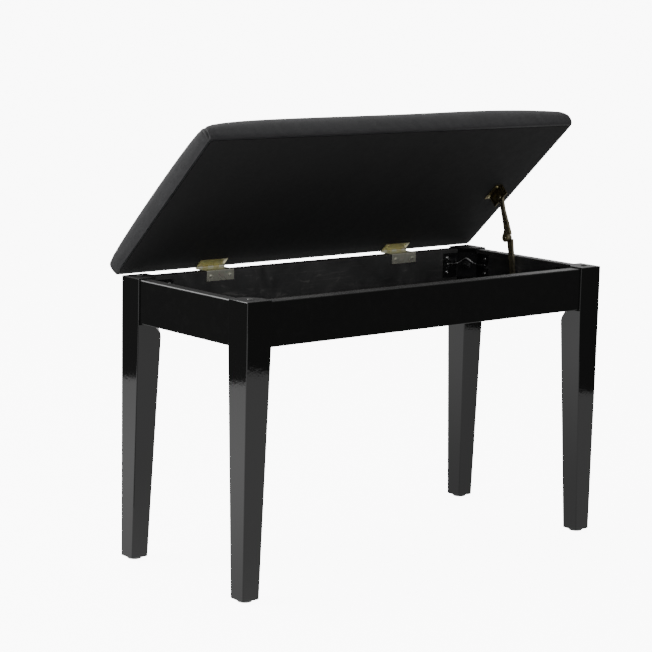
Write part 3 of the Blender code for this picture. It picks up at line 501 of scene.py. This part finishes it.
def seat_cushion():
    """Foam pad under a vinyl cover, pulled round the board and stapled below."""
    bm = bmesh.new()
    crease = bm.edges.layers.float.new('crease_edge')
    levels = [(0.4, Z_IN * 1000, 5.0), (0.4, 453.3, 5.0)] + PAD
    rings = []
    for off, z, r in levels:
        rings.append([bm.verts.new((x, y, z * 0.001)) for x, y in plan_ring(BX + off * 0.001, BY + off * 0.001, r * 0.001)])
    n = len(rings[0])
    for a, b in zip(rings[:-1], rings[1:]):
        for k in range(n):
            bm.faces.new((a[k], a[(k + 1) % n], b[(k + 1) % n], b[k]))
    bm.faces.new(rings[0])
    gx, gy = BX - GRID_IN, BY - GRID_IN
    grid = {}
    for i in range(NX + 1):
        for k in range(NY + 1):
            x, y = gx - 2 * gx * i / NX, gy - 2 * gy * k / NY
            d = min(BX - abs(x), BY - abs(y)) - GRID_IN
            grid[i, k] = bm.verts.new((x, y, 0.4960 + 0.0040 * (1 - math.exp(-d / 0.045))))
    for i in range(NX):
        for k in range(NY):
            bm.faces.new((grid[i, k], grid[i + 1, k], grid[i + 1, k + 1], grid[i, k + 1]))
    # join the last ring to the rectangular top: each corner arc fans to one point
    top = rings[-1]
    side_pts = [[grid[i, 0] for i in range(NX + 1)], [grid[NX, k] for k in range(NY + 1)],
                [grid[NX - i, NY] for i in range(NX + 1)], [grid[0, NY - k] for k in range(NY + 1)]]
    at = 0
    for pts, n_s in zip(side_pts, (NX, NY, NX, NY)):
        for k in range(NC):
            bm.faces.new((top[at + k], top[at + k + 1], pts[0]))
        at += NC
        for k in range(n_s):
            bm.faces.new((top[(at + k) % n], top[(at + k + 1) % n], pts[k + 1], pts[k]))
        at += n_s
    for ring, w in ((rings[0], 1.0), (rings[1], 0.9), (rings[2], 0.75)):
        for k in range(n):
            e = bm.edges.get((ring[k], ring[(k + 1) % n]))
            e[crease] = w
    bmesh.ops.recalc_face_normals(bm, faces=bm.faces)
    ob = add_mesh('upholstered_cushion', bm, MATS['vinyl'], None)
    bpy.context.view_layer.objects.active = ob
    ob.select_set(True)
    me = ob.data
    co = np.empty(len(me.vertices) * 3)
    me.vertices.foreach_get('co', co)
    co = co.reshape(-1, 3)
    rest = co.copy()
    x, y, z = rest[:, 0], rest[:, 1], rest[:, 2]
    # the rim is stapled under the board and holds still
    pin = ob.vertex_groups.new(name='pin')
    for i in range(len(co)):
        w = 1.0 if z[i] < 0.4556 or abs(z[i] - Z_IN) < 1e-5 and max(abs(x[i]) - BX, abs(y[i]) - BY) < 0.001 else 0.0
        if w == 0.0 and z[i] < 0.4600:
            w = 0.5
        if w:
            pin.add([i], w, 'REPLACE')
    cl = ob.modifiers.new('cloth', 'CLOTH')
    s = cl.settings
    s.quality = 5
    s.mass = 0.4
    s.tension_stiffness = 40.0
    s.compression_stiffness = 40.0
    s.shear_stiffness = 12.0
    s.bending_stiffness = 1.5
    s.use_pressure = True
    s.uniform_pressure_force = 4.0
    s.vertex_group_mass = 'pin'
    s.effector_weights.gravity = 0.0
    cl.collision_settings.use_collision = False
    cl.collision_settings.use_self_collision = False
    cl.point_cache.frame_start = 1
    cl.point_cache.frame_end = 24
    sc = bpy.context.scene
    for f in range(1, 21):
        sc.frame_set(f)
        bpy.context.view_layer.update()
    ev = ob.evaluated_get(bpy.context.evaluated_depsgraph_get())
    out = np.empty(len(ev.data.vertices) * 3)
    ev.data.vertices.foreach_get('co', out)
    out = out.reshape(-1, 3)
    ob.modifiers.remove(cl)
    sc.frame_set(1)
    ob.vertex_groups.clear()
    move = out - rest
    length = np.linalg.norm(move, axis=1)
    print('cushion: largest raw cloth move %.1f mm' % (length.max() * 1000))
    # the pad is stuffed evenly: the sides barely move, the top may rise
    t = np.clip((z - 0.4945) / 0.004, 0, 1)
    cap = 0.0005 + CAP_TOP * t * t * (3 - 2 * t)
    soft = cap * np.tanh(length / cap)
    co = rest + move * np.where(length > 1e-9, soft / np.maximum(length, 1e-9), 0)[:, None]
    # firmer foam stands higher along the long edges, and the cover pulls it down over the corners
    x, y, z = co[:, 0], co[:, 1], co[:, 2]
    ax, ay = np.abs(x), np.abs(y)
    top_w = np.clip((z - 0.470) / 0.018, 0, 1)
    along = np.clip(1 - (ax / BX) ** 4, 0, 1)
    long_side = 0.55 + 0.45 * np.clip(ay / BY, 0, 1) ** 2
    near = np.hypot(np.clip(BX - ax, 0, 1), np.clip(BY - ay, 0, 1))
    fuller = EDGE_FULL * np.exp(-((x - 0.20) / 0.13) ** 2) * np.clip(-y / BY, 0, 1) ** 2 * along ** 0.3
    z = z + top_w * ((EDGE_UP * along + fuller) * long_side - CORNER_DOWN * np.where((x > 0) & (y < 0), 0.70, 1.0) * np.exp(-near / 0.042))
    x = x + 0.0010 * np.clip((z - 0.4533) / 0.003, 0, 1)
    x = x + np.clip((z - 0.4533) / 0.006, 0, 1) * np.exp(-near / 0.030) * np.where((x > 0) & (y < 0), 0.0018, np.where((x < 0) & (y > 0), -0.0016, 0.0))
    # the sides pull in a little between the corners
    wall = np.clip((z - 0.457) / 0.012, 0, 1)
    near_x = np.clip((ax - (BX - 0.012)) / 0.012, 0, 1)
    near_y = np.clip((ay - (BY - 0.012)) / 0.012, 0, 1)
    x = x - np.sign(x) * wall * near_x * np.clip(1 - (ay / BY) ** 4, 0, 1) * 0.0007
    y = y - np.sign(y) * wall * near_y * np.clip(1 - (ax / BX) ** 6, 0, 1) * 0.0005
    co = np.stack([x, y, z], 1)
    hold = rest[:, 2] < 0.4550
    co[hold] = rest[hold]
    inner = (np.abs(rest[:, 2] - Z_IN) < 1e-5) & (np.maximum(np.abs(rest[:, 0]) - BX, np.abs(rest[:, 1]) - BY) < 0.001)
    co[inner] = rest[inner]
    me.vertices.foreach_set('co', co.ravel())
    me.update()
    sub = ob.modifiers.new('sub', 'SUBSURF')
    sub.levels = sub.render_levels = 1
    bpy.ops.object.modifier_apply(modifier='sub')
    me = ob.data
    co = np.empty(len(me.vertices) * 3)
    me.vertices.foreach_get('co', co)
    co = co.reshape(-1, 3)
    nrm = np.empty(len(me.vertices) * 3)
    me.vertices.foreach_get('normal', nrm)
    nrm = nrm.reshape(-1, 3)
    x, y, z = co[:, 0], co[:, 1], co[:, 2]
    ax, ay = np.abs(x), np.abs(y)
    outer = (np.maximum(ax - BX, ay - BY) > 0.0012) | (z > 0.470)
    # sewn corner seam from the rim up over the corner, the cover gathered beside it
    d = (ax - BX) - (ay - BY)
    reach = np.clip(1 - np.hypot(BX + 0.006 - ax, BY + 0.006 - ay) / 0.044, 0, 1) * np.clip((z - 0.4548) / 0.003, 0, 1)
    reach = reach * reach * (3 - 2 * reach)
    groove = -0.0010 * np.exp(-(d / 0.0015) ** 2) + 0.0004 * np.exp(-((np.abs(d) - 0.0040) / 0.0022) ** 2)
    gather = 0.0004 * np.sin(d * 520.0 + 1.3 * np.sign(x) + 0.7 * np.sign(y)) * np.exp(-(np.abs(d) / 0.022) ** 2)
    # faint pull lines where the cover is drawn under the board
    per = np.where(ax - BX > ay - BY, y, x)
    low_w = np.clip((z - 0.4545) / 0.004, 0, 1) * np.clip((0.484 - z) / 0.02, 0, 1)
    pull = low_w * (0.00016 * np.sin(per * 148.0 + 2.1 * np.sin(per * 23.0)) + 0.00010 * np.sin(per * 331.0 + 1.7))
    co = co + nrm * ((reach * groove + reach * gather + pull) * outer)[:, None]
    me.vertices.foreach_set('co', co.ravel())
    me.update()
    for p in me.polygons:
        p.use_smooth = True
    me.set_sharp_from_angle(angle=math.radians(58))
    ob.matrix_world = lid_matrix() @ Matrix.Translation((0, LSY, 0))
    bpy.context.view_layer.update()
    me.transform(ob.matrix_world)
    ob.matrix_world = Matrix.Identity(4)
    ob.select_set(False)
    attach(ob, 'lid')
    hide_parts('seat_cushion')
    return ob


CAP_TOP = 0.0026
EDGE_UP = 0.0020
EDGE_FULL = 0.0022
CORNER_DOWN = 0.0080
cushion = seat_cushion()


# ------------------------------------------------------------------ bracket details
def sweep(path, profile, closed=False):
    """Sweep (normal, up) profile points along a path of (point, normal, up)."""
    bm = bmesh.new()
    rings = [[bm.verts.new(p + nn * a + uu * b) for a, b in profile] for p, nn, uu in path]
    n = len(profile)
    for a, b in zip(rings[:-1], rings[1:]):
        for k in range(n):
            bm.faces.new((a[k], a[(k + 1) % n], b[(k + 1) % n], b[k]))
    bm.faces.new(rings[0][::-1])
    bm.faces.new(rings[-1])
    return bm


def bracket_rib(tag, sx, sy):
    """Pressed stiffening rib along the bracket, arching over the nut."""
    xi, yi = X_INNER - 0.0002 - BR_T, Y_INNER - 0.0002 - BR_T
    a = Vector((WEB_SUM - (yi + BR_T) - BR_T * 0.414, yi, 0))
    b = Vector((xi, WEB_SUM - (xi + BR_T) - BR_T * 0.414, 0))
    a0 = a + Vector((-0.0235, 0, 0))
    b0 = b + Vector((0, -0.0205, 0))
    legs = [(a0, a, Vector((0, -1, 0))), (a, b, Vector((-1, -1, 0)).normalized()), (b, b0, Vector((-1, 0, 0)))]
    pts = []
    total = sum((q - p).length for p, q, _ in legs)
    run = 0.0
    for i, (p, q, nn) in enumerate(legs):
        L = (q - p).length
        steps = max(8, int(L / 0.0011))
        for k in range(steps + 1):
            if k == 0 and i > 0:
                continue
            f = k / steps
            c = p.lerp(q, f)
            nv = nn.copy()
            if i < 2 and f > 0.88:
                nv = nn.lerp(legs[i + 1][2], (f - 0.88) / 0.24).normalized()
            if i > 0 and f < 0.12:
                nv = nn.lerp(legs[i - 1][2], (0.12 - f) / 0.24).normalized()
            s = (run + L * f) / total
            arch = math.exp(-((s - 0.5) / 0.125) ** 2)
            z = 0.4232 + 0.0092 * arch - 0.0010 * math.exp(-((abs(s - 0.5) - 0.30) / 0.10) ** 2)
            taper = min(1.0, s / 0.05, (1 - s) / 0.05)
            pts.append((Vector((sx * c.x, sy * c.y + SHIFT_Y, z)), Vector((sx * nv.x, sy * nv.y, 0)), taper))
        run += L
    path = []
    prof = [(math.cos(math.radians(t)) * 1.0, math.sin(math.radians(t)) * 1.0) for t in range(-100, 101, 20)]
    bm = bmesh.new()
    rings = []
    for p, nn, tp in pts:
        h = 0.0019 * (0.25 + 0.75 * math.sqrt(max(0.0, tp)))
        w = 0.0024 * (0.35 + 0.65 * math.sqrt(max(0.0, tp)))
        rings.append([bm.verts.new(p + nn * (c * h) + Vector((0, 0, 1)) * (s * w)) for c, s in prof])
    n = len(prof)
    for u, v in zip(rings[:-1], rings[1:]):
        for k in range(n):
            bm.faces.new((u[k], u[(k + 1) % n], v[(k + 1) % n], v[k]))
    bm.faces.new(rings[0][::-1])
    bm.faces.new(rings[-1])
    ob = add_mesh('bracket_rib_' + tag, bm, MATS['rib'], 60)
    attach(ob, 'frame')
    return ob


def pan_screw(bm, centre, direction, r=0.0036, h=0.0017, slot_turn=0.0):
    """Pan-head screw with a cross recess, turned about its axis."""
    z = Vector(direction).normalized()
    rot = z.to_track_quat('Z', 'Y').to_matrix() @ Matrix.Rotation(slot_turn, 3, 'Z')
    prof = [(1.0, 0.0), (1.0, 0.30), (0.94, 0.55), (0.80, 0.80), (0.60, 0.96), (0.40, 1.0)]
    seg = 24
    rings = []
    for pr, ph in prof:
        rings.append([bm.verts.new(Vector(centre) + rot @ Vector((pr * r * math.cos(2 * math.pi * k / seg), pr * r * math.sin(2 * math.pi * k / seg), ph * h))) for k in range(seg)])
    # cross recess
    rec = []
    for k in range(seg):
        t = 2 * math.pi * k / seg
        arm = max(abs(math.cos(t)), abs(math.sin(t))) ** 8
        rec.append(bm.verts.new(Vector(centre) + rot @ Vector((r * (0.13 + 0.22 * arm) * math.cos(t), r * (0.13 + 0.22 * arm) * math.sin(t), h * (1.0 - 0.05)))))
    flo = bm.verts.new(Vector(centre) + rot @ Vector((0, 0, h * 0.25)))
    rings.append(rec)
    bot = bm.verts.new(Vector(centre) + rot @ Vector((0, 0, -0.0004)))
    for u, v in zip(rings[:-1], rings[1:]):
        for k in range(seg):
            bm.faces.new((u[k], u[(k + 1) % seg], v[(k + 1) % seg], v[k]))
    for k in range(seg):
        bm.faces.new((rings[-1][k], rings[-1][(k + 1) % seg], flo))
        bm.faces.new((rings[0][(k + 1) % seg], rings[0][k], bot))


def bracket_screws(tag, sx, sy):
    bm = bmesh.new()
    xi, yi = X_INNER - 0.0002, Y_INNER - 0.0002
    a = (WEB_SUM - yi, yi)
    b = (xi, WEB_SUM - xi)
    x_s = a[0] - 0.031 + 0.008
    y_s = b[1] - 0.028 + 0.008
    turn = 0.3
    for z in (0.409, 0.434):
        pan_screw(bm, (sx * x_s, sy * (yi - BR_T) + SHIFT_Y, z), (0, -sy, 0), slot_turn=turn)
        turn += 0.8
        pan_screw(bm, (sx * (xi - BR_T), sy * y_s + SHIFT_Y, z), (-sx, 0, 0), slot_turn=turn)
        turn += 0.6
    ob = add_mesh('bracket_screws_' + tag, bm, MATS['screw'], 35)
    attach(ob, 'frame')
    return ob


for tag, (sx, sy) in {'front_left': (-1, -1), 'front_right': (1, -1), 'back_left': (-1, 1), 'back_right': (1, 1)}.items():
    bracket_rib(tag, sx, sy)
    bracket_screws(tag, sx, sy)


# ------------------------------------------------------------------ stage
def stage_plane(name, corners, color, strength, camera, glossy, diffuse=False, rough=0.9, albedo=None):
    me = bpy.data.meshes.new(name)
    me.from_pydata([tuple(c) for c in corners], [], [(0, 1, 2, 3)])
    ob = bpy.data.objects.new(name, me)
    COLL.objects.link(ob)
    m = bpy.data.materials.new(name)
    m.use_nodes = True
    b = m.node_tree.nodes['Principled BSDF']
    b.inputs['Base Color'].default_value = (*(albedo or (0, 0, 0)), 1)
    b.inputs['Roughness'].default_value = rough
    b.inputs['Specular IOR Level'].default_value = 0.0
    b.inputs['Emission Color'].default_value = (*color, 1)
    b.inputs['Emission Strength'].default_value = strength
    me.materials.append(m)
    ob.visible_camera = camera
    ob.visible_glossy = glossy
    ob.visible_diffuse = diffuse
    ob.visible_transmission = glossy
    ob.visible_volume_scatter = False
    ob.visible_shadow = False
    return ob


def level(u, v, z):
    """Point at u metres to the camera's right and v metres away from it."""
    p = SIDE * u + VIEW * v
    return (p.x, p.y, z)


BIG = 45.0
GLOW = 9.0
stage_plane('floor', [(-BIG, -BIG, 0), (BIG, -BIG, 0), (BIG, BIG, 0), (-BIG, BIG, 0)], (1.0, 1.0, 1.0), GLOW, True, False, albedo=(0.85, 0.85, 0.85))
# the floor is one-sided, so that views from below look through it
ft = bpy.data.objects['floor'].data.materials[0].node_tree
one = ft.nodes.new('ShaderNodeMixShader')
side_of = ft.nodes.new('ShaderNodeNewGeometry')
clear = ft.nodes.new('ShaderNodeBsdfTransparent')
out_node = next(n for n in ft.nodes if n.type == 'OUTPUT_MATERIAL')
ft.links.new(side_of.outputs['Backfacing'], one.inputs[0])
ft.links.new(next(n for n in ft.nodes if n.type == 'BSDF_PRINCIPLED').outputs['BSDF'], one.inputs[1])
ft.links.new(clear.outputs['BSDF'], one.inputs[2])
ft.links.new(one.outputs['Shader'], out_node.inputs['Surface'])
stage_plane('dark_studio', [(-BIG, -BIG, -0.02), (BIG, -BIG, -0.02), (BIG, BIG, -0.02), (-BIG, BIG, -0.02)], (1, 1, 1), 0.06, False, True)
# the paper that the lacquer mirrors: brightest on the key-light side, nearest the camera
paper = stage_plane('paper', [level(-1.83, -8, -0.01), level(1.62, -8, -0.01), level(1.62, 8, -0.01), level(-1.83, 8, -0.01)], (1, 1, 1), 1.0, False, True)
pt = paper.data.materials[0].node_tree
geo = pt.nodes.new('ShaderNodeNewGeometry')


def stage_dot(v):
    d = pt.nodes.new('ShaderNodeVectorMath')
    d.operation = 'DOT_PRODUCT'
    pt.links.new(geo.outputs['Position'], d.inputs[0])
    d.inputs[1].default_value = v
    return d.outputs['Value']


def stage_range(v, a0, a1, b0, b1):
    r = pt.nodes.new('ShaderNodeMapRange')
    r.interpolation_type = 'SMOOTHSTEP'
    for k, x in (('From Min', a0), ('From Max', a1), ('To Min', b0), ('To Max', b1)):
        r.inputs[k].default_value = x
    pt.links.new(v, r.inputs['Value'])
    return r.outputs['Result']


add = pt.nodes.new('ShaderNodeMath')
add.operation = 'MULTIPLY'
pt.links.new(stage_range(stage_dot(SIDE), -1.2, 0.25, 1.50, 0.78), add.inputs[0])
pt.links.new(stage_range(stage_dot(VIEW), -0.5, 0.7, 1.12, 0.70), add.inputs[1])
pt.links.new(add.outputs[0], pt.nodes['Principled BSDF'].inputs['Emission Strength'])

# camera-only pale dome, so every direction looks like the same plain studio
bm = bmesh.new()
bmesh.ops.create_icosphere(bm, subdivisions=3, radius=60.0)
me = bpy.data.meshes.new('backdrop')
bm.to_mesh(me)
bm.free()
dome = bpy.data.objects.new('backdrop', me)
COLL.objects.link(dome)
m = bpy.data.materials.new('backdrop')
m.use_nodes = True
b = m.node_tree.nodes['Principled BSDF']
b.inputs['Base Color'].default_value = (0, 0, 0, 1)
b.inputs['Specular IOR Level'].default_value = 0.0
b.inputs['Emission Color'].default_value = (1, 1, 1, 1)
b.inputs['Emission Strength'].default_value = GLOW + 0.4
me.materials.append(m)
dome.visible_glossy = dome.visible_diffuse = dome.visible_shadow = dome.visible_transmission = dome.visible_volume_scatter = False

# world: bright wall behind the bench, soft light above, darker towards the camera
world = bpy.data.worlds.new('world')
world.use_nodes = True
wt = world.node_tree
bgn = wt.nodes['Background']
bgn.inputs['Color'].default_value = (1, 1, 1, 1)
tc = wt.nodes.new('ShaderNodeTexCoord')
dot = wt.nodes.new('ShaderNodeVectorMath')
dot.operation = 'DOT_PRODUCT'
wt.links.new(tc.outputs['Generated'], dot.inputs[0])
wall = (VIEW + Vector((0, 0, 0.45)) - SIDE * 0.35).normalized()
dot.inputs[1].default_value = wall
mr = wt.nodes.new('ShaderNodeMapRange')
mr.interpolation_type = 'SMOOTHSTEP'
for k, v in (('From Min', 0.1), ('From Max', 0.9), ('To Min', 0.28), ('To Max', 1.15)):
    mr.inputs[k].default_value = v
wt.links.new(dot.outputs['Value'], mr.inputs['Value'])
wt.links.new(mr.outputs['Result'], bgn.inputs['Strength'])
bpy.context.scene.world = world


def area(name, place, aim, size, energy, color=(1, 1, 1)):
    ld = bpy.data.lights.new(name, 'AREA')
    ld.shape = 'RECTANGLE'
    ld.size, ld.size_y = size
    ld.energy = energy
    ld.color = color
    ob = bpy.data.objects.new(name, ld)
    COLL.objects.link(ob)
    ob.location = place
    ob.rotation_euler = (Vector(aim) - Vector(place)).to_track_quat('-Z', 'Y').to_euler()
    ob.visible_camera = False
    return ob


area('key_left', tuple(SIDE * -2.4 - VIEW * 0.4 + Vector((0, 0, 1.7))), (0, 0, 0.45), (1.6, 1.6), 60.0)
area('top', (0.0, 0.2, 2.6), (0, 0, 0.4), (2.0, 1.4), 16.0)
area('front_fill', tuple(SIDE * 1.6 - VIEW * 2.6 + Vector((0, 0, 1.2))), (0, 0, 0.4), (1.4, 1.4), 24.0)
